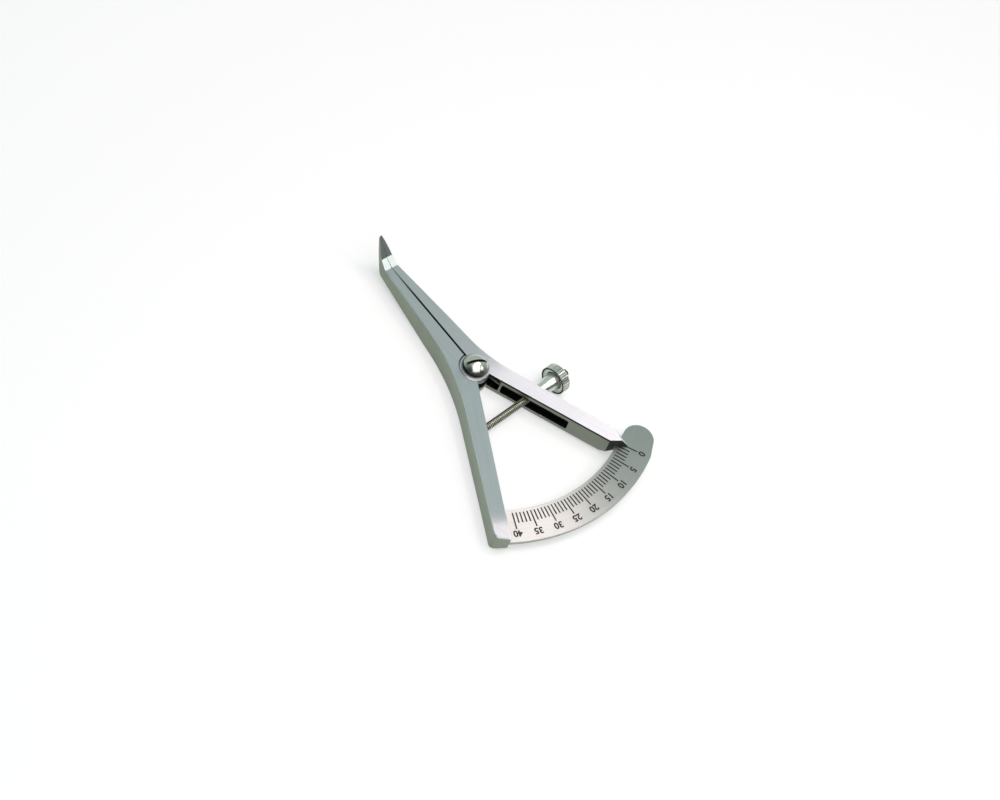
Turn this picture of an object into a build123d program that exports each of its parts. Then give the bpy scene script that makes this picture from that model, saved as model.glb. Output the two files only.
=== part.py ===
from build123d import *
from math import atan2, cos, radians, sin, tan
import os

os.makedirs("parts", exist_ok=True)

# Spring caliper with angled tips, shown closed at the 0 mark.
# The origin lies on the pivot axis, level with the underside of both arms.
# +Y runs towards the tips, +Z is up, and the moving arm is on the +X side.

# Reading
max_opening = 40.0
scale_sweep = 53.9
tip_reach = max_opening / 2 / sin(radians(scale_sweep / 2))

# Arms
arm_thick = 6.3
moving_lean = 24.9
fixed_lean = 28.5
face_offset = 0.25
moving_root_width = 4.85
moving_end_width = 4.3
moving_length = 46.0
fixed_root_width = 5.25
fixed_end_width = 4.25
edge_break = 0.22
end_corner = 2.0
end_lift = 2.6
pointer_length = 4.6
pointer_across = 3.15
pointer_flat = 0.2
bevel_reach = 3.1
bevel_drop = 2.2

# Jaws
tip_gap = 0.04
seam_gap = 0.74
tip_width = 0.3
tip_height = 1.0
tip_rise = 6.25
# the bends lie back from the tips by these lengths
bend_y = tip_reach - 7.13
bend_half = 2.25
knee_y = tip_reach - 4.43
knee_rise = 1.6
under_bend_y = tip_reach - 5.53
under_bend_z = 2.75
under_bend_round = 2.0
belly_y = 14.5
jaw_y = 17.0
jaw_taper = 0.0875
jaw_half = bend_half + jaw_taper * (bend_y - jaw_y)
moving_flare = 4.0
moving_waist = 41.0
fixed_flare = 6.0
fixed_waist = 70.0

# Lap joint and screw
hub_radius = 4.46
hub_gap = 0.12
hub_bevel = 0.3
lap_gap = 0.04
running_gap = 0.05
shoulder_radius = 2.0
stem_radius = 1.7
head_radius = 3.4
head_edge = 1.2
dome_height = 1.75
slot_width = 0.8
slot_depth = 1.1
slot_turn = -23.0

# Return spring
wire_radius = 0.38
wire_gap = 0.12
leg_end = 7.6
pocket_end = leg_end + 0.5
pocket_walls = 1.8
pocket_rise = 0.2
window_height = 2.6

# Spindle, collar and nut
anchor_along = 19.4
anchor_across = 2.15
spindle_heading = 4.9
spindle_radius = 1.05
spindle_past_nut = 2.5
eye_radius = spindle_radius + 0.55
pin_radius = 0.6
pin_cover = 1.1
swing_pocket = (anchor_along - 3.2, anchor_along + 2.0)
side_gap = 0.15
spindle_slot = (anchor_along - 10.7, anchor_along + 9.8)
spindle_slot_height = 2 * spindle_radius + 0.8
mouth_drop = 0.7
mouth_depth = 1.6
nose_radius = spindle_radius + 0.65
nose_gap = 0.05
collar_radius = nose_radius + 0.7
collar_length = 6.35
tail_radius = spindle_radius + 0.65
tail_length = 0.55
nut_radius = 4.1
nut_length = 2.9
rim_width = 0.4
dish_depth = 1.05
flute_count = 36
flute_radius = 0.25

# Scale plate and the fork that runs on it
plate_inner = moving_length - 2.7
plate_outer = plate_inner + 9.8
fixed_length = plate_outer + 0.8
plate_thick = 1.1
plate_top = 3.4
plate_embed = 3.1
lobe_angle = 33.9
lobe_radius = 4.3
neck_angle = 4.5
fork_gap = 0.13
fork_root_gap = 0.3
slip = 0.02

mid = arm_thick / 2
tip_z = arm_thick + tip_rise
plate_bottom = plate_top - plate_thick


def on_handle(side, lean, along, across):
    # A plan point, measured along a handle from the pivot and outward from its inner face.
    a = radians(lean)
    out = face_offset + across
    return (side * (out * cos(a) + along * sin(a)), out * sin(a) - along * cos(a))


def waist_corner(lean, widths, length, flare):
    # Where the jaw's flank would meet the handle's outer edge, on the +X side.
    x0, y0 = on_handle(1, lean, 0, widths[0])
    x1, y1 = on_handle(1, lean, length, widths[1])
    slope = (x1 - x0) / (y0 - y1)
    spread = tan(radians(flare))
    y = (x0 + slope * y0 - jaw_half - spread * jaw_y) / (slope - spread)
    return jaw_half + spread * (jaw_y - y), y


def arm_blank(side, lean, widths, length, flare, waist_radius, ending):
    # Plan outline raised to full height, then cut to the side view with its bent tip.
    # widths are the handle's widths at the pivot and at its end.
    x, y = waist_corner(lean, widths, length, flare)
    tip_outer = tip_gap / 2 + tip_width
    flank = TangentArc(
        (side * bend_half, bend_y),
        (side * tip_outer, tip_reach),
        tangent=(side * (bend_half - jaw_half), bend_y - jaw_y),
    )
    rest = Polyline(
        (side * bend_half, bend_y),
        (side * jaw_half, jaw_y),
        (side * x, y),
        *[on_handle(side, lean, s, w) for s, w in ending],
        on_handle(side, lean, 1.5, 0),
        (side * seam_gap / 2, 1.0),
        (side * tip_gap / 2, tip_reach),
        (side * tip_outer, tip_reach),
    )
    plan = make_face(flank + rest)
    corner = plan.vertices().sort_by_distance((side * x, y, 0))[0]
    plan = fillet(corner, waist_radius)
    outline = Polyline(
        (-70, 0),
        (belly_y, 0),
        (under_bend_y, under_bend_z),
        (tip_reach, tip_z - tip_height),
        (tip_reach, tip_z),
        (knee_y, arm_thick + knee_rise),
        (bend_y, arm_thick),
        (-70, arm_thick),
        close=True,
    )
    side_face = make_face(outline)
    heel = side_face.vertices().sort_by_distance((under_bend_y, under_bend_z, 0))[0]
    side_face = fillet(heel, under_bend_round)
    side_solid = extrude(Plane.YZ * side_face, 60, both=True)
    return extrude(plan, tip_z + 1) & side_solid


def break_edges(arm, side, lean, width, length):
    # Breaks the long outer edge of the level top face, from the bend to the handle's end.
    top = arm.faces().filter_by(Axis.Z).sort_by(Axis.Z)[-1]
    a = radians(lean)
    wanted = []
    for edge in top.edges():
        middle = edge @ 0.5
        x = middle.X * side
        along = x * sin(a) - middle.Y * cos(a)
        across = x * cos(a) + middle.Y * sin(a)
        on_jaw = along < 0 and x > 0.6 * bend_half
        on_handle_edge = 0 <= along < length and across > 0.7 * width
        if on_jaw or on_handle_edge:
            wanted.append(edge)
    return chamfer(wanted, edge_break)


def hub_band(radius, low, high):
    return Pos(0, 0, (low + high) / 2) * Cylinder(radius, high - low)


def handle_window(side, lean, along, heights, across, corner):
    # Rounded rectangular opening in a handle, driven in from its inner face.
    a = radians(lean)
    n = Vector(side * cos(a), sin(a), 0)
    d = Vector(side * sin(a), -cos(a), 0)
    x, y = on_handle(side, lean, sum(along) / 2, across[0])
    frame = Plane(origin=(x, y, sum(heights) / 2), x_dir=d, z_dir=n)
    shape = RectangleRounded(along[1] - along[0], heights[1] - heights[0], corner)
    return extrude(frame * shape, across[1] - across[0])


# Both arms as blanks; the moving one runs out to a pointer that reads the scale
moving_widths = (moving_root_width, moving_end_width)
fixed_widths = (fixed_root_width, fixed_end_width)
shoulder_along = moving_length - pointer_length
moving_ending = (
    (shoulder_along - 0.5, moving_end_width),
    (moving_length, pointer_across + pointer_flat),
    (moving_length, pointer_across),
    (shoulder_along, 0),
)
fixed_ending = (
    (fixed_length - 0.8, fixed_end_width),
    (fixed_length, 0),
)
moving_arm = arm_blank(
    1, moving_lean, moving_widths, moving_length, moving_flare, moving_waist, moving_ending
)
fixed_arm = arm_blank(
    -1, fixed_lean, fixed_widths, fixed_length, fixed_flare, fixed_waist, fixed_ending
)

# Fixed arm's end: outer corner rounded in plan, underside rounded up from the table
fixed_corner = on_handle(-1, fixed_lean, fixed_length - 0.8, fixed_end_width)
end_edges = fixed_arm.edges().filter_by(Axis.Z)
fixed_arm = fillet(end_edges.sort_by_distance((*fixed_corner, mid))[0], end_corner)
turn = radians(fixed_lean)
along_fixed = Vector(-sin(turn), -cos(turn), 0)
out_fixed = Vector(-cos(turn), sin(turn), 0)
heel_start = (*on_handle(-1, fixed_lean, 0, -3), 0)
heel_plane = Plane(origin=heel_start, x_dir=along_fixed, z_dir=out_fixed)
heel_size = end_lift + 1
heel_tool = Rectangle(heel_size, heel_size) - Pos(-heel_size / 2, heel_size / 2) * Circle(end_lift)
heel_tool = Pos(fixed_length + 1 - heel_size / 2, end_lift - heel_size / 2) * heel_tool
fixed_arm -= extrude(heel_plane * heel_tool, 14)
moving_arm = break_edges(moving_arm, 1, moving_lean, moving_end_width, shoulder_along)
fixed_arm = break_edges(fixed_arm, -1, fixed_lean, fixed_end_width, fixed_length)

# Half-lap hubs: the fixed arm keeps the lower disc, the moving arm the upper one
upper_low = mid + lap_gap / 2
lower_high = mid - lap_gap / 2
upper_disc = hub_band(hub_radius, upper_low, arm_thick)
upper_disc = chamfer(upper_disc.edges().filter_by(GeomType.CIRCLE).sort_by(Axis.Z)[-1], hub_bevel)
moving_arm -= hub_band(hub_radius + hub_gap, -1, upper_low)
moving_arm += upper_disc
fixed_arm -= hub_band(hub_radius + hub_gap, lower_high, tip_z)
fixed_arm += hub_band(hub_radius, 0, lower_high)
moving_arm -= hub_band(shoulder_radius + running_gap, 0, tip_z)
fixed_arm -= hub_band(stem_radius + slip, -1, tip_z)

# Recess for the hairpin spring around the screw, open between the two legs
wrap_radius = shoulder_radius + wire_gap + wire_radius
leg_room = wrap_radius - face_offset + wire_radius + wire_gap
recess = hub_band(wrap_radius + wire_radius + wire_gap, mid - window_height / 2, mid + window_height / 2)
fan = make_face(
    Polyline(
        on_handle(1, moving_lean, 0, leg_room),
        on_handle(1, moving_lean, pocket_end, leg_room),
        on_handle(-1, fixed_lean, pocket_end, leg_room),
        on_handle(-1, fixed_lean, 0, leg_room),
        close=True,
    )
)
fan_cut = extrude(Pos(0, 0, mid - window_height / 2) * fan, window_height)
pocket_low = pocket_walls / 2 + pocket_rise
pocket_heights = (pocket_low, pocket_low + arm_thick - pocket_walls)
pocket_span = (hub_radius, pocket_end)
moving_arm -= recess + fan_cut
fixed_arm -= recess + fan_cut
moving_arm -= handle_window(1, moving_lean, pocket_span, pocket_heights, (-1.5, leg_room), 1.6)
fixed_arm -= handle_window(-1, fixed_lean, pocket_span, pocket_heights, (-1.5, leg_room), 1.6)

# Through slot that lets the spindle pass the moving arm, its mouth opened downward
slot_heights = (mid - spindle_slot_height / 2, mid + spindle_slot_height / 2)
mouth_heights = (slot_heights[0] - mouth_drop, slot_heights[1])
moving_arm -= handle_window(1, moving_lean, spindle_slot, slot_heights, (-1, 7), 0.6)
moving_arm -= handle_window(1, moving_lean, spindle_slot, mouth_heights, (-1, mouth_depth), 0.6)

# Pocket in which the spindle's eye swings, and the blind hole for its pin
swing_heights = (mid - spindle_radius - side_gap, mid + spindle_radius + side_gap)
swing_depth = anchor_across + eye_radius + side_gap
fixed_arm -= handle_window(-1, fixed_lean, swing_pocket, swing_heights, (-1, swing_depth), 0.5)
anchor = on_handle(-1, fixed_lean, anchor_along, anchor_across)
pin_top = arm_thick - pin_cover
fixed_arm -= Pos(*anchor, pin_top / 2) * Cylinder(pin_radius + slip, pin_top)

# Scale plate: ring segment that narrows to a round lobe, its root let into the fixed arm


def on_arc(radius, turn):
    # A plan point on a circle about the pivot, turned from -Y towards the moving side.
    return (radius * sin(radians(turn)), -radius * cos(radians(turn)))


plate_middle = (plate_inner + plate_outer) / 2
far = plate_outer * 1.5
sector = make_face(
    Polyline(
        (0, 0),
        on_arc(far, lobe_angle - neck_angle),
        (0, -far * 1.2),
        on_handle(-1, fixed_lean, far, plate_embed),
        on_handle(-1, fixed_lean, 0, plate_embed),
        close=True,
    )
)
plate_plan = (Circle(plate_outer) - Circle(plate_inner)) & sector
plate_plan += Pos(*on_arc(plate_middle, lobe_angle)) * Circle(lobe_radius)
plate_plan += make_face(
    Polyline(
        on_arc(plate_inner, lobe_angle - neck_angle),
        on_arc(plate_middle - lobe_radius, lobe_angle),
        on_arc(plate_middle + lobe_radius, lobe_angle),
        on_arc(plate_outer, lobe_angle - neck_angle),
        close=True,
    )
)
scale_plate = extrude(Pos(0, 0, plate_bottom) * plate_plan, plate_thick)
fixed_arm -= extrude(Pos(0, 0, plate_bottom - slip) * plate_plan, plate_thick + 2 * slip)

# Fork of the moving arm: cut concentric with the pivot, so it rides along the plate
fork = hub_band(plate_outer * 1.4, plate_bottom - fork_gap, plate_top + fork_gap)
fork -= hub_band(plate_inner - fork_root_gap, -1, tip_z)
moving_arm -= fork
lower_top_z = plate_bottom - fork_gap
turn = radians(moving_lean)
out_moving = Vector(cos(turn), sin(turn), 0)
along_moving = Vector(sin(turn), -cos(turn), 0)

# Pointer: an oblique plane falls from the outer corner of the top face to the plate
bevel_top = Vector(*on_handle(1, moving_lean, shoulder_along - 0.5, moving_end_width), arm_thick)
bevel_run = along_moving * bevel_reach - out_moving * bevel_drop
point = on_handle(1, moving_lean, moving_length, pointer_across + pointer_flat)
bevel_low = Vector(*point, plate_top + fork_gap)
bevel_normal = bevel_run.cross(bevel_low - bevel_top)
if bevel_normal.Z < 0:
    bevel_normal = -bevel_normal
bevel = Plane(origin=bevel_top, x_dir=bevel_run, z_dir=bevel_normal)
moving_arm -= bevel * Pos(0, 0, 5) * Box(30, 30, 10)

# Underside of the lower finger, rising to the plate; read along the handle and up
toe_start = (*on_handle(1, moving_lean, 0, -1), 0)
section = Plane(origin=toe_start, x_dir=along_moving, z_dir=-out_moving)
toe = make_face(
    Polyline(
        (moving_length - 6.4, 0),
        (moving_length - 1.6, lower_top_z),
        (moving_length - 1.6, lower_top_z + fork_gap),
        (moving_length + 4, lower_top_z + fork_gap),
        (moving_length + 4, -1),
        (moving_length - 6.4, -1),
        close=True,
    )
)
moving_arm -= extrude(section * toe, -8)

# Pivot screw: domed slotted head, shoulder in the moving hub, stem in the fixed hub
head_base = Pos(0, 0, arm_thick + slip + head_edge / 2) * Cylinder(head_radius, head_edge)
dome_radius = (head_radius**2 + dome_height**2) / (2 * dome_height)
dome_low = arm_thick + slip + head_edge
dome_centre = dome_low + dome_height - dome_radius
dome = Pos(0, 0, dome_centre) * Sphere(dome_radius)
dome &= Pos(0, 0, dome_low + dome_height) * Cylinder(head_radius, 2 * dome_height)
shoulder = hub_band(shoulder_radius, lower_high, arm_thick + slip)
stem = hub_band(stem_radius, 0, lower_high)
driver_slot = Box(3 * head_radius, slot_width, 2 * slot_depth)
slot_z = dome_low + dome_height
pivot_screw = head_base + dome + shoulder + stem
pivot_screw -= Pos(0, 0, slot_z) * Rot(0, 0, slot_turn) * driver_slot

# Hairpin return spring: one bend over the screw, one leg along each handle
leg_across = wrap_radius - face_offset


def spring_leg(side, lean):
    start = Vector(*on_handle(side, lean, 0, leg_across), mid)
    end = Vector(*on_handle(side, lean, leg_end, leg_across), mid)
    return start, end


right_start, right_end = spring_leg(1, moving_lean)
left_start, left_end = spring_leg(-1, fixed_lean)
top_point = Vector(0, wrap_radius, mid)
spring_path = Wire(
    [
        Line(right_end, right_start).edge(),
        ThreePointArc(right_start, top_point, left_start).edge(),
        Line(left_start, left_end).edge(),
    ]
)
wire_plane = Plane(origin=right_end, z_dir=(right_start - right_end).normalized())
return_spring = sweep(wire_plane * Circle(wire_radius), path=spring_path)

# Spindle, collar and nut are made along +X from the eye, then laid along the heading
taper = (moving_end_width - moving_root_width) / moving_length
outer_turn = radians(moving_lean) + atan2(taper, 1)
outer_normal = Vector(cos(outer_turn), sin(outer_turn), 0)
outer_point = Vector(*on_handle(1, moving_lean, 0, moving_root_width), 0)
heading = radians(spindle_heading)
anchor_point = Vector(*anchor, 0)
reach = outer_normal.dot(outer_point - anchor_point)
tilt = outer_turn - heading
nose_start = (reach + nose_radius * abs(sin(tilt))) / cos(tilt) + nose_gap
collar_end = nose_start + collar_length
nut_front = collar_end + side_gap / 3 - dish_depth
nut_back = nut_front + nut_length
spindle_end = nut_back + spindle_past_nut
bore_radius = spindle_radius + running_gap
lay = Pos(*anchor, mid) * Rot(0, 0, spindle_heading)


def turned(*profile):
    # Solid of revolution about X from (x, radius) pairs.
    return revolve(make_face(Polyline(*profile, close=True)), Axis.X)


spindle = turned(
    (0, 0),
    (0, spindle_radius),
    (spindle_end - 0.3, spindle_radius),
    (spindle_end, spindle_radius - 0.3),
    (spindle_end, 0),
)
spindle += Cylinder(eye_radius, 2 * spindle_radius)
spindle -= Cylinder(pin_radius + running_gap, 4 * spindle_radius)
spindle = lay * spindle

spindle_pin = Pos(*anchor, pin_top / 2) * Cylinder(pin_radius, pin_top)

nut_collar = lay * turned(
    (nose_start, bore_radius),
    (nose_start, nose_radius - 0.2),
    (nose_start + 0.2, nose_radius),
    (collar_end, collar_radius),
    (collar_end, tail_radius),
    (collar_end + tail_length, tail_radius),
    (collar_end + tail_length, bore_radius),
)

tail_room = tail_radius + running_gap
tail_stop = collar_end + tail_length + side_gap / 3
knurled_nut = turned(
    (nut_front + dish_depth, tail_room),
    (nut_front + dish_depth, nut_radius - 2 * rim_width),
    (nut_front, nut_radius - rim_width),
    (nut_front, nut_radius - 0.15),
    (nut_front + 0.15, nut_radius),
    (nut_back - 0.3, nut_radius),
    (nut_back, nut_radius - 0.3),
    (nut_back, bore_radius),
    (tail_stop, bore_radius),
    (tail_stop, tail_room),
)
for i in range(flute_count):
    flute = Pos(nut_front, 0, nut_radius + 0.1) * Rot(0, 90, 0)
    flute *= Cylinder(flute_radius, 3 * nut_length)
    knurled_nut -= Rot(360 / flute_count * i, 0, 0) * flute
knurled_nut = lay * knurled_nut

pieces = {
    "fixed_arm": fixed_arm,
    "moving_arm": moving_arm,
    "pivot_screw": pivot_screw,
    "scale_plate": scale_plate,
    "spindle": spindle,
    "spindle_pin": spindle_pin,
    "nut_collar": nut_collar,
    "knurled_nut": knurled_nut,
    "return_spring": return_spring,
}
for name, piece in pieces.items():
    export_step(piece, f"parts/{name}.step")
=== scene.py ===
from math import cos, pi, radians, sin

import bmesh
import bpy
from mathutils import Matrix, Vector


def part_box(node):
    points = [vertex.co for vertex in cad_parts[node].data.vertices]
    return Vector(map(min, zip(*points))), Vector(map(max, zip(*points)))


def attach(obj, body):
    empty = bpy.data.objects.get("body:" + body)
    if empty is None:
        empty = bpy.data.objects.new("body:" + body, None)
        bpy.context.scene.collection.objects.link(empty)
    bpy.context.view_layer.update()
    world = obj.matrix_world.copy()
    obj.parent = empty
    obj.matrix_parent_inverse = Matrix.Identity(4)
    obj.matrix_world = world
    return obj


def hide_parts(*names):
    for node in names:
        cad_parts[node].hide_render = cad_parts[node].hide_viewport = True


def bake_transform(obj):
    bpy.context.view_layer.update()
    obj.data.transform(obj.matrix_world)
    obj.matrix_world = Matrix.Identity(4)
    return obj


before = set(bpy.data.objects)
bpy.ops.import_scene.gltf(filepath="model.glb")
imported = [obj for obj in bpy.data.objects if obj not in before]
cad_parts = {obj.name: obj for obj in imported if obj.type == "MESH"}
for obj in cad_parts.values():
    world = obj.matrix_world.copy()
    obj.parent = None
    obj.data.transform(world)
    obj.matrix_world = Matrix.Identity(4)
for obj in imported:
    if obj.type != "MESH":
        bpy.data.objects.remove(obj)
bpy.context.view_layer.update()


# Fixed arm. Forged stainless steel, milled to shape and then satin finished
# by hand along its length, so fine scratches run from tip to handle end.
# Its inner end holds the scale plate, and its lower hub takes the screw.

def tone(code):
    # sRGB hex to a linear colour with alpha
    parts = [int(code[i:i + 2], 16) / 255 for i in (1, 3, 5)]
    return [p / 12.92 if p <= 0.04045 else ((p + 0.055) / 1.055) ** 2.4 for p in parts] + [1.0]


def add(tree, kind, settings=None, **inputs):
    # One node, with its settings, its constants and its links. An input goes by its
    # number, as in _0, or by its name with underscores for spaces, as in Base_Color.
    made = tree.nodes.new(kind)
    for key, value in (settings or {}).items():
        setattr(made, key, value)
    for key, value in inputs.items():
        socket = made.inputs[int(key[1:])] if key[1:].isdigit() else made.inputs[key.replace("_", " ")]
        if isinstance(value, bpy.types.NodeSocket):
            tree.links.new(value, socket)
        else:
            socket.default_value = value
    return made


def new_material(name):
    made = bpy.data.materials.new(name)
    made.use_nodes = True
    made.node_tree.nodes.clear()
    return made, made.node_tree


def darken_inside(tree, place, colour, shade_tone, middle, half, turn):
    # Everything inside a box, such as the walls of a slot, gets a dark colour: painted shade
    local = add(
        tree, "ShaderNodeVectorRotate", {"rotation_type": "Z_AXIS"}, Vector=place.outputs["Object"], Angle=-turn,
    )
    apart = add(tree, "ShaderNodeVectorMath", {"operation": "SUBTRACT"}, _0=local.outputs[0], _1=middle)
    size = add(tree, "ShaderNodeVectorMath", {"operation": "ABSOLUTE"}, _0=apart.outputs[0])
    over = add(tree, "ShaderNodeVectorMath", {"operation": "SUBTRACT"}, _0=size.outputs[0], _1=half)
    sides = add(tree, "ShaderNodeSeparateXYZ", Vector=over.outputs[0])
    worst = add(tree, "ShaderNodeMath", {"operation": "MAXIMUM"}, _0=sides.outputs[0], _1=sides.outputs[1])
    worst = add(tree, "ShaderNodeMath", {"operation": "MAXIMUM"}, _0=worst.outputs[0], _1=sides.outputs[2])
    inside = add(tree, "ShaderNodeMath", {"operation": "LESS_THAN"}, _0=worst.outputs[0], _1=0.0)
    mixed = add(
        tree, "ShaderNodeMix", {"data_type": "RGBA"}, _0=inside.outputs[0], _6=colour, _7=tone(shade_tone),
    )
    return mixed.outputs[2]


def satin_steel(
    name, flat, flank, handle_run, jaw_run, roughness, pull,
    shade_box=None, dark_edge_reflection=None, end_run=None, pocket_painted_shadow=None,
):
    # Stainless steel rubbed by hand with fine abrasive: long faint scratches, which smear a
    # highlight across themselves. Upright flanks get a darker colour than level flats: painted shade.
    # Real scratches are about 0.02 mm apart; streak_mm draws them coarse enough to show.
    streak_mm, streak_long_mm = 0.22, 14.0
    blotches_per_metre = 130.0
    noise_low, noise_high = 0.3, 0.7
    mix, times = {"data_type": "RGBA"}, {"operation": "MULTIPLY"}
    below, above = {"operation": "LESS_THAN"}, {"operation": "GREATER_THAN"}
    made, tree = new_material(name)
    place = add(tree, "ShaderNodeTexCoord")
    here = place.outputs["Object"]
    spot = add(tree, "ShaderNodeSeparateXYZ", Vector=here)
    across_arm, towards_tips, height = spot.outputs
    if handle_run is None:
        # rubbed in arcs about the pivot; the plate's middle radius turns an angle into a length
        middle_radius = 0.048
        arc = add(
            tree, "ShaderNodeVectorMath", {"operation": "CROSS_PRODUCT"}, _0=(0.0, 0.0, 1.0), _1=here,
        )
        run = add(tree, "ShaderNodeVectorMath", {"operation": "NORMALIZE"}, _0=arc.outputs[0]).outputs[0]
        angle = add(tree, "ShaderNodeMath", {"operation": "ARCTAN2"}, _0=towards_tips, _1=across_arm)
        along = add(tree, "ShaderNodeMath", times, _0=angle.outputs[0], _1=middle_radius)
        across = add(tree, "ShaderNodeVectorMath", {"operation": "LENGTH"}, _0=here)
    else:
        # the direction of rubbing turns from the handle's to the jaw's beside the hub
        handle_side, jaw_side = -0.006, 0.005
        handle_way = (cos(handle_run), sin(handle_run), 0.0)
        share = add(tree, "ShaderNodeMapRange", _0=towards_tips, _1=handle_side, _2=jaw_side)
        run = add(
            tree, "ShaderNodeMix", {"data_type": "VECTOR"}, _0=share.outputs[0],
            _4=handle_way, _5=(cos(jaw_run), sin(jaw_run), 0.0),
        ).outputs[1]
        if end_run:
            # the last few millimetres of the handle were rubbed at another angle
            end_from, end_full = 0.0435, 0.0495
            reach = add(
                tree, "ShaderNodeVectorMath", {"operation": "DOT_PRODUCT"}, _0=here, _1=handle_way,
            )
            near_end = add(
                tree, "ShaderNodeMapRange", _0=reach.outputs["Value"], _1=end_from, _2=end_full,
            )
            run = add(
                tree, "ShaderNodeMix", {"data_type": "VECTOR"}, _0=near_end.outputs[0],
                _4=run, _5=(cos(end_run), sin(end_run), 0.0),
            ).outputs[1]
        side = add(
            tree, "ShaderNodeVectorMath", {"operation": "CROSS_PRODUCT"}, _0=(0.0, 0.0, 1.0), _1=run,
        )
        along = add(tree, "ShaderNodeVectorMath", {"operation": "DOT_PRODUCT"}, _0=here, _1=run)
        across = add(
            tree, "ShaderNodeVectorMath", {"operation": "DOT_PRODUCT"}, _0=here, _1=side.outputs[0],
        )
    laid = add(
        tree, "ShaderNodeCombineXYZ", X=along.outputs["Value"], Y=across.outputs["Value"], Z=height,
    )
    streaks = add(
        tree, "ShaderNodeMapping", Vector=laid.outputs[0],
        Scale=(1000 / streak_long_mm, 1000 / streak_mm, 1000 / streak_mm),
    )
    rub = add(tree, "ShaderNodeTexNoise", Vector=streaks.outputs[0], Scale=1.0, Detail=3.0, Roughness=0.65)
    cloud = add(tree, "ShaderNodeTexNoise", Vector=here, Scale=blotches_per_metre, Detail=2.0)

    # upward is 1 on a level face and 0 on an upright one
    facing = add(tree, "ShaderNodeSeparateXYZ", Vector=place.outputs["Normal"])
    towards_tips_facing, upward = facing.outputs[1], facing.outputs[2]
    flank_upward, flat_upward = 0.3, 0.8
    # upright faces take the flank colour, level faces the flat colour: painted shade on the flanks
    level = add(tree, "ShaderNodeMapRange", _0=upward, _1=flank_upward, _2=flat_upward)
    hue = add(tree, "ShaderNodeMix", mix, _0=level.outputs[0], _6=tone(flank), _7=tone(flat))
    # broken edges and the bent tips get a paler colour than the flats beside them: painted highlight
    highlight_from, highlight_to = 0.5, 0.93
    not_flat = add(tree, "ShaderNodeMath", below, _0=upward, _1=highlight_to)
    not_flank = add(tree, "ShaderNodeMath", above, _0=upward, _1=highlight_from)
    edge_highlight = add(tree, "ShaderNodeMath", times, _0=not_flat.outputs[0], _1=not_flank.outputs[0])
    hue = add(tree, "ShaderNodeMix", mix, _0=edge_highlight.outputs[0], _6=hue.outputs[2], _7=tone("#dce2df"))
    # the deepest scratches hold a little grey dirt
    most_dirt = 0.16
    dirt = add(
        tree, "ShaderNodeMapRange", _0=rub.outputs[0], _1=noise_low, _2=noise_high, _3=0.0, _4=most_dirt,
    )
    hue = add(tree, "ShaderNodeMix", mix, _0=dirt.outputs[0], _6=hue.outputs[2], _7=tone("#5c605c"))
    colour = hue.outputs[2]
    # painted shade inside the slots
    if shade_box:
        colour = darken_inside(tree, place, colour, "#1a1b18", *shade_box)
    # painted shadow around the mouth of the spring's pocket
    if pocket_painted_shadow:
        colour = darken_inside(tree, place, colour, "#262823", *pocket_painted_shadow)
    if dark_edge_reflection:
        # dark line along the inner top edge: painted reflection of the dark side of the room
        line_ends = -0.002
        high = add(tree, "ShaderNodeMath", above, _0=height, _1=dark_edge_reflection)
        steep = add(tree, "ShaderNodeMath", below, _0=upward, _1=flank_upward)
        on_handle = add(tree, "ShaderNodeMath", below, _0=towards_tips, _1=line_ends)
        line = add(tree, "ShaderNodeMath", times, _0=high.outputs[0], _1=steep.outputs[0])
        line = add(tree, "ShaderNodeMath", times, _0=line.outputs[0], _1=on_handle.outputs[0])
        painted_edge_reflection = add(tree, "ShaderNodeMix", mix, _0=line.outputs[0], _6=colour, _7=tone("#1d1e1b"))
        # dark ring around the foot of the screw's head: painted shade
        head_shade_edge, head_shade_full, head_shade_share = 0.0041, 0.0036, 0.8
        plan = add(tree, "ShaderNodeVectorMath", times, _0=here, _1=(1.0, 1.0, 0.0))
        away = add(tree, "ShaderNodeVectorMath", {"operation": "LENGTH"}, _0=plan.outputs[0])
        head_shade = add(
            tree, "ShaderNodeMapRange", _0=away.outputs["Value"],
            _1=head_shade_edge, _2=head_shade_full, _3=0.0, _4=head_shade_share,
        )
        head_shaded = add(
            tree, "ShaderNodeMix", mix, _0=head_shade.outputs[0], _6=painted_edge_reflection.outputs[2], _7=tone("#3a3d3a"),
        )
        colour = head_shaded.outputs[2]
    if handle_run is not None:
        # the jaws' meeting faces and the slanted end of the pointer get darker colours: painted shade
        meeting_half = 0.0003
        hub_edge, hub_clear = 0.002, 0.0056
        bend_start, bend_clear = 0.036, 0.026
        offside = add(tree, "ShaderNodeMath", {"operation": "ABSOLUTE"}, _0=across_arm)
        meeting = add(tree, "ShaderNodeMath", below, _0=offside.outputs[0], _1=meeting_half)
        past_hub = add(tree, "ShaderNodeMapRange", _0=towards_tips, _1=hub_edge, _2=hub_clear)
        before_bend = add(tree, "ShaderNodeMapRange", _0=towards_tips, _1=bend_start, _2=bend_clear)
        seam = add(tree, "ShaderNodeMath", times, _0=meeting.outputs[0], _1=past_hub.outputs[0])
        seam = add(tree, "ShaderNodeMath", times, _0=seam.outputs[0], _1=before_bend.outputs[0])
        gap_shade = add(tree, "ShaderNodeMix", mix, _0=seam.outputs[0], _6=colour, _7=tone("#4d514e"))
        slant_facing, handle_end = -0.7, -0.03
        slanted = add(tree, "ShaderNodeMath", below, _0=towards_tips_facing, _1=slant_facing)
        at_end = add(tree, "ShaderNodeMath", below, _0=towards_tips, _1=handle_end)
        right_half = add(tree, "ShaderNodeMath", above, _0=across_arm, _1=0.0)
        nib = add(tree, "ShaderNodeMath", times, _0=slanted.outputs[0], _1=at_end.outputs[0])
        nib = add(tree, "ShaderNodeMath", times, _0=nib.outputs[0], _1=right_half.outputs[0])
        shaded = add(tree, "ShaderNodeMix", mix, _0=nib.outputs[0], _6=gap_shade.outputs[2], _7=tone("#3a3e3c"))
        colour = shaded.outputs[2]

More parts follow.
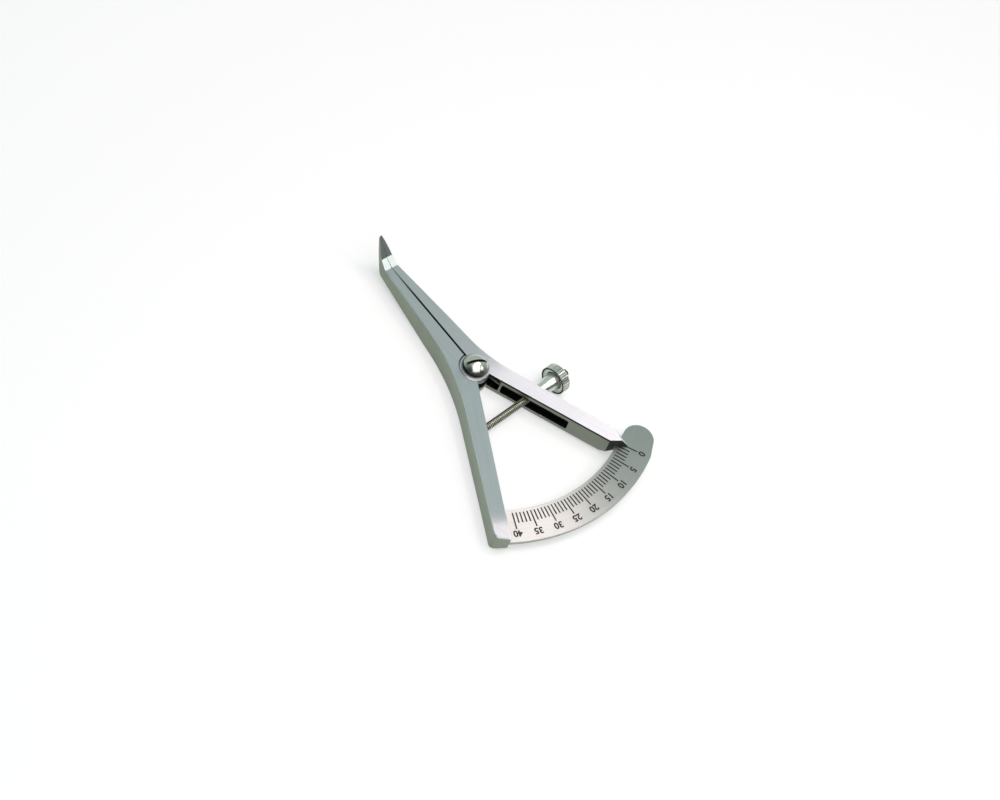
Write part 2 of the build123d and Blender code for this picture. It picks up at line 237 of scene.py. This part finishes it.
    gloss_spread = 0.03
    gloss = add(
        tree, "ShaderNodeMapRange", _0=cloud.outputs[0], _1=noise_low, _2=noise_high,
        _3=roughness - gloss_spread, _4=roughness + gloss_spread,
    )
    scratch_depth = 0.000003
    bump = add(tree, "ShaderNodeBump", Strength=0.25, Distance=scratch_depth, Height=rub.outputs[0])
    pull_way = add(
        tree, "ShaderNodeVectorMath", {"operation": "CROSS_PRODUCT"}, _0=place.outputs["Normal"], _1=run,
    )
    lay = add(
        tree, "ShaderNodeVectorTransform",
        {"vector_type": "VECTOR", "convert_from": "OBJECT", "convert_to": "WORLD"}, Vector=pull_way.outputs[0],
    )
    skin = add(
        tree, "ShaderNodeBsdfPrincipled", Base_Color=colour, Metallic=1.0,
        Roughness=gloss.outputs[0], Normal=bump.outputs[0], Anisotropic=pull, Tangent=lay.outputs[0],
    )
    add(tree, "ShaderNodeOutputMaterial", Surface=skin.outputs[0])
    return made


def dress(node, material):
    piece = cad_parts[node]
    piece.data.materials.clear()
    piece.data.materials.append(material)


# degrees between the handle and the line of the jaws
fixed_lean = 28.5
fixed_turn = radians(-90 - fixed_lean)
jaw_turn = radians(-90)
end_turn = radians(-77)
slot_low, slot_high = 0.00095, 0.00568


def wall_box(from_pivot, to_end, inner, outer, turn):
    # Middle, half size and turn of the space inside a handle where its slots are
    middle = ((from_pivot + to_end) / 2, (inner + outer) / 2, (slot_low + slot_high) / 2)
    half = ((to_end - from_pivot) / 2, abs(outer - inner) / 2, (slot_high - slot_low) / 2)
    return middle, half, turn


# the fixed handle's slots are painted dark inside: painted shade
fixed_slots = wall_box(from_pivot=0.0044, to_end=0.0216, inner=-0.00029, outer=-0.0043, turn=fixed_turn)
fixed_steel = satin_steel(
    "satin stainless steel, fixed arm", "#d3d3d8", "#929c8d", fixed_turn, jaw_turn, 0.38, 0.88,
    shade_box=fixed_slots, end_run=end_turn,
)
dress("fixed_arm", fixed_steel)

# Moving arm. The same steel, rubbed along its own handle, which lies at
# another angle, so it catches the light where the fixed arm does not.

moving_lean = 24.9
moving_turn = radians(-90 + moving_lean)
# the moving handle's slots are painted dark inside: painted shade
moving_slots = wall_box(from_pivot=0.0044, to_end=0.0293, inner=0.00029, outer=0.0045, turn=moving_turn)
# dark patch around the mouth of the spring's pocket: painted shadow
shadow_low, shadow_high = 0.0012, 0.0056
shadow_middle = (0.0056, 0.0, (shadow_low + shadow_high) / 2)
shadow_half = (0.0025, 0.0006, (shadow_high - shadow_low) / 2)
moving_steel = satin_steel(
    "satin stainless steel, moving arm", "#d3d3d8", "#868c80", moving_turn, jaw_turn, 0.4, 0.85,
    shade_box=moving_slots, dark_edge_reflection=0.0056, pocket_painted_shadow=(shadow_middle, shadow_half, moving_turn),
)
dress("moving_arm", moving_steel)

# Pivot screw. Turned stainless steel, its domed head buffed bright and cut
# with one straight driver slot; the shoulder carries the moving arm.


def buffed_metal(name, base, roughness, shade_box=None, steep_side_shade=None):
    # Buffed metal: a clean mirror with a faint haze, about 1 mm across, left by the mop
    haze_per_metre = 900.0
    haze_low, haze_high = 0.3, 0.7
    smoother, rougher = 0.02, 0.03
    made, tree = new_material(name)
    place = add(tree, "ShaderNodeTexCoord")
    haze = add(tree, "ShaderNodeTexNoise", Vector=place.outputs["Object"], Scale=haze_per_metre, Detail=2.0)
    gloss = add(
        tree, "ShaderNodeMapRange", _0=haze.outputs[0], _1=haze_low, _2=haze_high,
        _3=roughness - smoother, _4=roughness + rougher,
    )
    colour = tone(base)
    # painted shade inside the box, such as the driver slot
    if shade_box:
        colour = darken_inside(tree, place, colour, "#5a5540", *shade_box)
    if steep_side_shade:
        # upright walls get a dark colour: painted dark reflection
        lit_upward, shaded_upward = 0.64, 0.5
        facing = add(tree, "ShaderNodeSeparateXYZ", Vector=place.outputs["Normal"])
        upright = add(
            tree, "ShaderNodeMapRange", _0=facing.outputs[2], _1=lit_upward, _2=shaded_upward,
        )
        steep_shaded = add(
            tree, "ShaderNodeMix", {"data_type": "RGBA"}, _0=upright.outputs[0], _6=colour, _7=tone(steep_side_shade),
        )
        colour = steep_shaded.outputs[2]
    skin = add(
        tree, "ShaderNodeBsdfPrincipled", Base_Color=colour, Metallic=1.0, Roughness=gloss.outputs[0],
    )
    add(tree, "ShaderNodeOutputMaterial", Surface=skin.outputs[0])
    return made


# middle, half size and turn of the slot cut across the dome
# the driver slot is painted dark inside: painted shade
driver_slot = ((0.0, 0.0, 0.0087), (0.004, 0.00041, 0.0006), radians(-23))
buffed = buffed_metal("buffed stainless steel", "#c8c8c0", 0.22, driver_slot, steep_side_shade="#2e312d")
dress("pivot_screw", buffed)

# Scale plate. Sheet steel sawn to a ring segment with a round lobe, satin
# finished, its 41 ticks and nine figures engraved and filled with black.

plate_inner, plate_outer = 0.0433, 0.0531
plate_low, plate_high = 0.0023, 0.0034
plate_mid = (plate_inner + plate_outer) / 2
lobe_radius = 0.0043
zero_turn, sweep = radians(-90 + 28.9), radians(53.9)
lobe_turn, neck_turn = radians(-90 + 33.9), radians(-90 + 29.4)
root_turn = radians(-90 - 32.0)


def polar(radius, turn, z):
    return Vector((radius * cos(turn), radius * sin(turn), z))


def mesh_piece(name, verts, faces, material=None):
    data = bpy.data.meshes.new(name)
    data.from_pydata([tuple(v) for v in verts], [], faces)
    data.update()
    piece = bpy.data.objects.new(name, data)
    bpy.context.collection.objects.link(piece)
    if material:
        data.materials.append(material)
    return piece


def slab(name, outline, low, high):
    # Flat plate from a plan outline, counter-clockwise
    n = len(outline)
    verts = [Vector((p.x, p.y, low)) for p in outline] + [Vector((p.x, p.y, high)) for p in outline]
    faces = [tuple(range(n - 1, -1, -1)), tuple(range(n, 2 * n))]
    faces += [(i, (i + 1) % n, n + (i + 1) % n, n + i) for i in range(n)]
    return mesh_piece(name, verts, faces)


arc_steps, lobe_steps = 90, 32
arc_turns = [root_turn + (neck_turn - root_turn) * i / arc_steps for i in range(arc_steps + 1)]
lobe_centre = polar(plate_mid, lobe_turn, 0)
outline = [polar(plate_outer, turn, 0) for turn in arc_turns]
outline += [
    lobe_centre + polar(lobe_radius, lobe_turn + pi * i / lobe_steps, 0) for i in range(lobe_steps + 1)
]
outline += [polar(plate_inner, turn, 0) for turn in reversed(arc_turns)]
plate = slab("scale_plate_engraved", outline, plate_low, plate_high)

tick_start, short_end, long_end = 0.0442, 0.0474, 0.0492
tick_width, cut_depth, cutter_stand = 0.0004, 0.00012, 0.0003
figure_radius, figure_height = 0.0505, 0.0019
figure_stand, figure_bold = 0.00002, 0.00009
font_size_per_height = 1.37
cut_low, cut_high = plate_high - cut_depth, plate_high + cutter_stand

marks = bmesh.new()
for mm in range(41):
    turn = zero_turn - sweep * mm / 40
    end = long_end if mm % 5 == 0 else short_end
    spin = Matrix.Rotation(turn, 4, "Z")
    size = Matrix.Diagonal((end - tick_start, tick_width, cut_high - cut_low, 1))
    shift = Matrix.Translation(((tick_start + end) / 2, 0, (cut_low + cut_high) / 2))
    bmesh.ops.create_cube(marks, size=1.0, matrix=spin @ shift @ size)
bmesh.ops.remove_doubles(marks, verts=marks.verts, dist=1e-7)
bmesh.ops.recalc_face_normals(marks, faces=marks.faces)
cutter_data = bpy.data.meshes.new("marks")
marks.to_mesh(cutter_data)
marks.free()
cutter = bpy.data.objects.new("marks", cutter_data)
bpy.context.collection.objects.link(cutter)

plate_steel = satin_steel(
    "satin sheet steel, rubbed in arcs", "#b3b2b0", "#a9ada4", None, None, 0.34, 0.82,
)
# paint wiped into the cuts: a matt brown-black
fill, fill_tree = new_material("black fill in the engraving")
skin = add(fill_tree, "ShaderNodeBsdfPrincipled", Base_Color=tone("#1a1210"), Roughness=0.6)
add(fill_tree, "ShaderNodeOutputMaterial", Surface=skin.outputs[0])
plate.data.materials.append(plate_steel)
cutter_data.materials.append(fill)
cut = plate.modifiers.new("engrave", "BOOLEAN")
cut.operation = "DIFFERENCE"
cut.solver = "EXACT"
cut.material_mode = "TRANSFER"
cut.object = cutter
bpy.context.view_layer.update()
settled = bpy.context.evaluated_depsgraph_get()
engraved = bpy.data.meshes.new_from_object(plate.evaluated_get(settled))
plate.modifiers.clear()
plate.data = engraved
bpy.data.objects.remove(cutter)
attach(plate, "fixed")
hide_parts("scale_plate")

figures = bmesh.new()
for mm in range(0, 41, 5):
    turn = zero_turn - sweep * mm / 40
    text = bpy.data.curves.new("figure", "FONT")
    text.body = str(mm)
    text.size = figure_height * font_size_per_height
    text.align_x = "CENTER"
    text.align_y = "CENTER"
    text.extrude = figure_stand / 2
    text.offset = figure_bold
    letter = bpy.data.objects.new("figure", text)
    bpy.context.collection.objects.link(letter)
    bpy.context.view_layer.update()
    settled = bpy.context.evaluated_depsgraph_get()
    solid = bpy.data.meshes.new_from_object(letter.evaluated_get(settled))
    place = polar(figure_radius, turn, plate_high + figure_stand / 2)
    solid.transform(Matrix.Translation(place) @ Matrix.Rotation(turn - pi / 2, 4, "Z"))
    figures.from_mesh(solid)
    bpy.data.objects.remove(letter)
    bpy.data.meshes.remove(solid)
figure_data = bpy.data.meshes.new("figures")
figures.to_mesh(figure_data)
figures.free()
figure_data.materials.clear()
figure_data.materials.append(fill)
figure_piece = bpy.data.objects.new("scale_figures", figure_data)
bpy.context.collection.objects.link(figure_piece)
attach(figure_piece, "fixed")

# Adjusting spindle. Drawn steel rod with a fine rolled thread: bright crests,
# darker grooves, painted shade on the turns past the nut. Its flattened eye swings on a hidden pin in the fixed
# arm.

# middle of the pin, and the way that the rod points from there
anchor = Vector((-0.01136604, -0.01590387, 0.00315))
heading = radians(4.9)
rod_radius, end_bevel = 0.00105, 0.0003
# the real thread is finer; its pitch is drawn coarse enough to show
pitch, thread_depth = 0.0006, 0.0002
thread_start, rod_end = 0.0022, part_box("spindle")[1][0]
rod_length = (rod_end - anchor.x) / cos(heading)
past_nut = 0.0322
turn_steps = 24
rings = int((rod_length - end_bevel - thread_start) / pitch * turn_steps)
# share of the pitch, and 1 on the crest or 0 in the groove
thread_form = [(0.0, 0.0), (0.28, 1.0), (0.5, 1.0), (0.78, 0.0)]
crest, groove, shaded_end = 0, 1, 2
verts, faces, finish = [], [], []
for i in range(rings):
    x = thread_start + pitch * i / turn_steps
    turn = 2 * pi * i / turn_steps
    for share, raised in thread_form:
        radius = rod_radius - thread_depth * (1 - raised)
        verts.append(Vector((x + pitch * share, radius * cos(turn), radius * sin(turn))))
row = len(thread_form)
for i in range(rings - 1):
    for j in range(row - 1):
        a, b = i * row + j, (i + 1) * row + j
        faces.append((a, a + 1, b + 1, b))
        finish.append(shaded_end if verts[a].x > past_nut else crest if j == 1 else groove)
    # the flank that closes the groove onto the next turn
    follow = i + turn_steps
    if follow + 1 < rings:
        faces.append((i * row + row - 1, follow * row, (follow + 1) * row, (i + 1) * row + row - 1))
        finish.append(shaded_end if verts[i * row].x > past_nut else groove)
lay_rod = Matrix.Translation(anchor) @ Matrix.Rotation(heading, 4, "Z")


def lathe(name, profile, steps, material, closed=False):
    # Turned piece about +X from (x, radius) pairs, laid along the spindle
    made_verts, made_faces = [], []
    for x, radius in profile:
        for i in range(steps):
            turn = 2 * pi * i / steps
            made_verts.append(Vector((x, radius * cos(turn), radius * sin(turn))))
    total = len(made_verts)
    for j in range(len(profile) if closed else len(profile) - 1):
        for i in range(steps):
            a, b = j * steps + i, j * steps + (i + 1) % steps
            made_faces.append((a, (a + steps) % total, (b + steps) % total, b))
    piece = mesh_piece(name, made_verts, made_faces, material)
    piece.data.transform(lay_rod)
    return piece


thread_steel = buffed_metal("drawn and threaded steel", "#e6e4d4", 0.3)
# the grooves get a darker colour than the crests
groove_steel = buffed_metal("thread grooves, darker than the crests", "#5e5c4e", 0.45)
# the turns past the nut get a dark colour: painted shade
shaded_end_steel = buffed_metal("last turns, painted shade", "#58574f", 0.45)
thread = mesh_piece("spindle_thread", verts, faces, thread_steel)
thread.data.materials.append(groove_steel)
thread.data.materials.append(shaded_end_steel)
thread.data.polygons.foreach_set("material_index", finish)
thread.data.transform(lay_rod)
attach(thread, "rod")
# the core stands a hair proud of the grooves' floor
core_stand, core_sides = 1e-5, 32
core_radius = rod_radius - thread_depth + core_stand
neck_slope, end_drop = 0.0002, 0.00021
core_profile = [
    (0.0, 0.0), (0.0, rod_radius), (thread_start, rod_radius), (thread_start + neck_slope, core_radius),
    (past_nut, core_radius), (rod_length - end_bevel, core_radius), (rod_length, core_radius - end_drop),
    (rod_length, 0.0),
]
core = lathe("spindle_core", core_profile, core_sides, groove_steel)
core.data.materials.append(shaded_end_steel)
bare_bands, end_bands = 4, 3
core.data.polygons.foreach_set("material_index", [0] * bare_bands * core_sides + [1] * end_bands * core_sides)
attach(core, "rod")
eye_radius, eye_steps = 0.0016, 36
eye_outline = [polar(eye_radius, 2 * pi * i / eye_steps, 0) for i in range(eye_steps)]
eye = slab("spindle_eye", eye_outline, -rod_radius, rod_radius)
eye.data.transform(Matrix.Translation(anchor))
eye.data.materials.append(thread_steel)
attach(eye, "rod")
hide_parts("spindle")
dress("spindle_pin", fixed_steel)

# Collar and knurled nut. Turned brass, nickel plated: the tapered nose bears
# on the moving arm, the straight-knurled ring behind it sets the opening.

nickel = buffed_metal("bright nickel plate on turned brass", "#cfd3cc", 0.3)
# the knurl's grooves are rougher and get a darker colour: painted shade
groove_shade_nickel = buffed_metal("nickel plate in the grooves, rougher, with painted shade", "#979b94", 0.4)
# the rim, the seat and the collar's nose get a dark colour: painted shade
rim_shade = buffed_metal("painted shade on the rim, seat and nose", "#2f322d", 0.5)
# the dish is rougher and gets a paler colour than the rest of the plating: painted light
lit_dish_nickel = buffed_metal("satin nickel plate in the dish, with painted light", "#e6ece6", 0.55)
nut_front, nut_back, nut_radius, bore_radius = 0.0292965, 0.0321965, 0.0041, 0.0011
flutes, flute_depth = 36, 0.00015
seat_depth, seat_inner, seat_outer = 0.00105, 0.00175, 0.0027
dish_depth, dish_radius = 0.0005, 0.0034
rim_slope, rim_inner, rim_start, rim_end = 0.0002, 0.0036, 0.0037, 0.00395
front_bevel, back_bevel = 0.00015, 0.0003
bright, shaded_groove, shaded_band, lit_satin = 0, 1, 2, 3
# the seat and the rim take the dark colour: painted shade; the dish takes the paler colour: painted light
nut_profile = [
    # distance from the anchor, radius, 1 where fluted, finish of the band that follows
    (nut_front + seat_depth, seat_inner, 0, shaded_band), (nut_front + seat_depth, seat_outer, 0, shaded_band),
    (nut_front + dish_depth, seat_outer, 0, lit_satin), (nut_front + dish_depth, dish_radius, 0, lit_satin),
    (nut_front + rim_slope, rim_inner, 0, shaded_band), (nut_front, rim_start, 0, shaded_band),
    (nut_front, rim_end, 0, shaded_band), (nut_front + front_bevel, nut_radius, 1, bright),
    (nut_back - back_bevel, nut_radius, 1, bright), (nut_back, nut_radius - back_bevel, 0, bright),
    (nut_back, bore_radius, 0, bright),
]
# one flute: a flat crest, then a groove, as shares of the pitch
flute_points = ((0.0, 0), (0.36, 0), (0.55, 1), (0.81, 1))
around = [(2 * pi * (i + part) / flutes, deep) for i in range(flutes) for part, deep in flute_points]
verts, faces, bands = [], [], []
for x, radius, fluted, _ in nut_profile:
    for turn, deep in around:
        reach = radius - (flute_depth if deep and fluted else 0)
        verts.append(Vector((x, reach * cos(turn), reach * sin(turn))))
n = len(around)
for k in range(len(nut_profile) - 1):
    for i in range(n):
        a, b = k * n + i, k * n + (i + 1) % n
        faces.append((a, a + n, b + n, b))
        in_groove = around[i][1] or around[(i + 1) % n][1]
        knurled = nut_profile[k][2] and nut_profile[k + 1][2]
        bands.append(shaded_groove if knurled and in_groove else nut_profile[k][3])
nut = mesh_piece("knurled_ring", verts, faces, nickel)
nut.data.materials.append(groove_shade_nickel)
nut.data.materials.append(rim_shade)
nut.data.materials.append(lit_dish_nickel)
nut.data.polygons.foreach_set("material_index", bands)
nut.data.transform(lay_rod)
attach(nut, "nut")
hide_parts("knurled_nut")


def soften(piece, sharp_degrees):
    # Rounded faces shade smooth and crisp edges stay crisp
    for face in piece.data.polygons:
        face.use_smooth = True
    piece.data.set_sharp_from_angle(angle=radians(sharp_degrees))


# the collar flares from the nose to a foot that sits in the ring's dish
nose_start, nose_radius, nose_bevel = 0.0239465, 0.00165, 0.0002
collar_end, foot_radius, tail_radius, tail_length = 0.0302965, 0.00258, 0.0017, 0.00055
collar_sides = 96
collar_profile = [
    (nose_start, bore_radius), (nose_start, nose_radius - nose_bevel), (nose_start + nose_bevel, nose_radius),
    (collar_end, foot_radius), (collar_end, tail_radius), (collar_end + tail_length, tail_radius),
    (collar_end + tail_length, bore_radius),
]
collar = lathe("tapered_collar", collar_profile, collar_sides, nickel, closed=True)
# the nose's end face and bevel take the dark colour: painted shade
collar.data.materials.append(rim_shade)
nose_bands, other_bands = 2, len(collar_profile) - 2
collar.data.polygons.foreach_set(
    "material_index", [1] * nose_bands * collar_sides + [0] * other_bands * collar_sides,
)
soften(collar, 30)
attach(collar, "collar")
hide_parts("nut_collar")

# Return spring. Hard-drawn steel wire bent once over the screw's shoulder;
# its legs press the two handles apart, which keeps the tips closed.

wrap, wire = 0.0025, 0.00038
leg_length, leg_steps, bend_steps = 0.0076, 12, 32
# each leg leaves the coil this much short of its handle's lean, towards the mouth of the pocket
leg_inward = radians(9)
right_lean, left_lean = radians(moving_lean) - leg_inward, radians(fixed_lean) - leg_inward
mid_z = 0.00315


def leg_point(side, lean, along):
    # Point on the wire's centre line, so far down the left (-1) or right (1) leg
    sideways = wrap * cos(lean) + along * sin(lean)
    return Vector((side * sideways, wrap * sin(lean) - along * cos(lean), mid_z))


route = [leg_point(-1, left_lean, leg_length * (1 - i / leg_steps)) for i in range(leg_steps)]
bend_from, bend_to = pi - left_lean, right_lean
route += [polar(wrap, bend_from + (bend_to - bend_from) * i / bend_steps, mid_z) for i in range(bend_steps + 1)]
route += [leg_point(1, right_lean, leg_length * (i + 1) / leg_steps) for i in range(leg_steps)]


def tube(name, points, radius, sides, material):
    # Round wire through points that lie in one level plane
    made_verts, made_faces = [], []
    for i, point in enumerate(points):
        ahead = points[min(i + 1, len(points) - 1)] - points[max(i - 1, 0)]
        across = Vector((-ahead.y, ahead.x, 0)).normalized()
        for j in range(sides):
            turn = 2 * pi * j / sides
            made_verts.append(point + radius * (cos(turn) * across + sin(turn) * Vector((0, 0, 1))))
    for i in range(len(points) - 1):
        for j in range(sides):
            a, b = i * sides + j, i * sides + (j + 1) % sides
            made_faces.append((a, b, b + sides, a + sides))
    last = (len(points) - 1) * sides
    made_faces.append(tuple(range(sides - 1, -1, -1)))
    made_faces.append(tuple(range(last, last + sides)))
    return mesh_piece(name, made_verts, made_faces, material)


spring_steel = buffed_metal("hard-drawn spring wire", "#8a8a86", 0.3)
wire_sides = 14
spring = tube("hairpin_spring", route, wire, wire_sides, spring_steel)
soften(spring, 50)
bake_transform(spring)
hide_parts("return_spring")

# Table, lamps and camera. White paper under the tool, which rests on its nut,
# its belly and the end of the fixed arm; four soft lamps hang over it.

under_nut = Vector((0.0192, -0.0133, -0.00096))
under_arm_end = Vector((-0.0262, -0.0470, 0.0))
under_belly = Vector((-0.0030, 0.0160, 0.0))
up = (under_arm_end - under_nut).cross(under_belly - under_nut).normalized()
if up.z < 0:
    up = -up
# the paper is overexposed, as in a catalogue picture, but keeps the tool's shadow
paper_glow = 0.47
paper, paper_tree = new_material("white paper")
lit = add(paper_tree, "ShaderNodeBsdfDiffuse", Color=tone("#f3f3f3"))
glow = add(paper_tree, "ShaderNodeEmission", Color=(1, 1, 1, 1), Strength=1.0)
path = add(paper_tree, "ShaderNodeLightPath")
shown = path.outputs["Is Camera Ray"]
for ray in ("Is Glossy Ray", "Is Transmission Ray"):
    shown = add(
        paper_tree, "ShaderNodeMath", {"operation": "MAXIMUM"}, _0=shown, _1=path.outputs[ray],
    ).outputs[0]
share = add(paper_tree, "ShaderNodeMath", {"operation": "MULTIPLY"}, _0=shown, _1=paper_glow)
blend = add(paper_tree, "ShaderNodeMixShader", _0=share.outputs[0], _1=lit.outputs[0], _2=glow.outputs[0])
add(paper_tree, "ShaderNodeOutputMaterial", Surface=blend.outputs[0])
table_half = 3.0
side_a = up.orthogonal().normalized() * table_half
side_b = up.cross(side_a).normalized() * table_half
corners = (-side_a - side_b, side_a - side_b, side_a + side_b, -side_a + side_b)
table = mesh_piece("table", [under_nut + corner for corner in corners], [(0, 1, 2, 3)], paper)

world = bpy.context.scene.world or bpy.data.worlds.new("room")
bpy.context.scene.world = world
world.use_nodes = True
room = world.node_tree
room.nodes.clear()
# pale ceiling over the right side, darker room behind the camera and low down
bright_side, dark_from, bright_from = (0.62, 0.70, 0.35), -0.35, 0.8
direction = add(room, "ShaderNodeTexCoord")
toward = add(
    room, "ShaderNodeVectorMath", {"operation": "DOT_PRODUCT"},
    _0=direction.outputs["Generated"], _1=bright_side,
)
climb = add(
    room, "ShaderNodeMapRange", {"interpolation_type": "SMOOTHSTEP"},
    _0=toward.outputs["Value"], _1=dark_from, _2=bright_from,
)
wall = add(
    room, "ShaderNodeMix", {"data_type": "RGBA"}, _0=climb.outputs[0], _6=tone("#39443f"), _7=tone("#c5d8d2"),
)
sky = add(room, "ShaderNodeBackground", Color=wall.outputs[2], Strength=1.0)
add(room, "ShaderNodeOutputWorld", Surface=sky.outputs[0])

lamp_distance = 0.6


def softbox(name, toward, size, watts, colour):
    # Square lamp that looks at the pivot from the given direction
    data = bpy.data.lights.new(name, "AREA")
    data.shape = "RECTANGLE"
    data.size, data.size_y = size, size
    data.energy = watts
    data.color = tone(colour)[:3]
    lamp = bpy.data.objects.new(name, data)
    lamp.location = Vector(toward).normalized() * lamp_distance
    lamp.rotation_euler = lamp.location.to_track_quat("Z", "Y").to_euler()
    bpy.context.collection.objects.link(lamp)


# glint on the collar and the bent tips; sheen on the screw's head; pale left
# half of the scale; pale handle of the moving arm
softbox("front lamp", (0.45, -0.60, 0.66), 0.16, 0.38, "#ffffff")
softbox("overhead lamp", (-0.2, -0.4, 0.9), 0.6, 2.4, "#ffffff")
softbox("scale lamp", (0.39, -0.083, 0.917), 0.14, 0.7, "#ffeeee")
softbox("top lamp", (0.06, 0.015, 0.997), 0.14, 0.55, "#ffe6ec")

# The camera looks down steeply from the lower left; its turn, distance and
# lens follow from the scale's ellipse in the picture, 1000 by 800 points.
picture_wide, picture_high = 1000, 800
pivot_across, pivot_down = 469.58, 379.34
right = Vector((0.750185, -0.614819, 0.243353))
up_axis = Vector((0.423879, 0.729615, 0.536645))
back = Vector((-0.507494, -0.299431, 0.807955))
view_distance, points_per_metre = 1.0, 3701.1
offset = (
    (pivot_across - picture_wide / 2) / points_per_metre,
    (picture_high / 2 - pivot_down) / points_per_metre,
)
camera_data = bpy.data.cameras.new("camera")
camera_data.sensor_width = 36.0
camera_data.lens = points_per_metre * view_distance / picture_wide * camera_data.sensor_width
camera = bpy.data.objects.new("camera", camera_data)
bpy.context.collection.objects.link(camera)
turn_matrix = Matrix((right, up_axis, back)).transposed()
place = back * view_distance - right * offset[0] - up_axis * offset[1]
camera.matrix_world = Matrix.Translation(place) @ turn_matrix.to_4x4()
camera_data.clip_start, camera_data.clip_end = 0.05, 20.0
bpy.context.scene.camera = camera
bpy.context.scene.view_settings.view_transform = "Standard"
